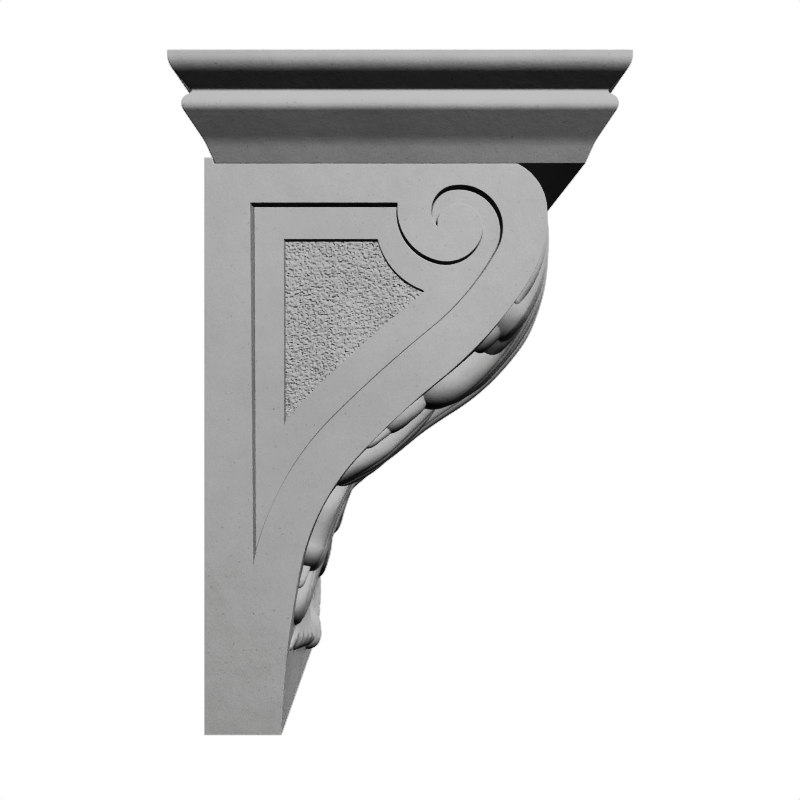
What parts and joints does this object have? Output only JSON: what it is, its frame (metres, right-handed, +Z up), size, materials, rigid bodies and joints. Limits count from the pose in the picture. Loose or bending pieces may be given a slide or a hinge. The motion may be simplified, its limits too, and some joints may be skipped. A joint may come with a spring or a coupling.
{
  "type": "carved bracket",
  "caption": "Carved corbel with an S-shaped acanthus front, scroll-shaped sinkings with a stippled panel on its sides, and a square moulded crown.",
  "frame": {"origin": "middle of the flat back of the body, where it is fixed to the wall", "axes": "+Z up, the front projects towards -Y from the wall plane Y = 0, X across the width"},
  "size_m": [0.3726, 0.3726, 0.56],
  "materials": {
    "stone": "matt, fine-grained grey cast stone"
  },
  "bodies": {
    "root": {"bracket_body": "stone", "crown_moulding": "stone"}
  },
  "joints": []
}
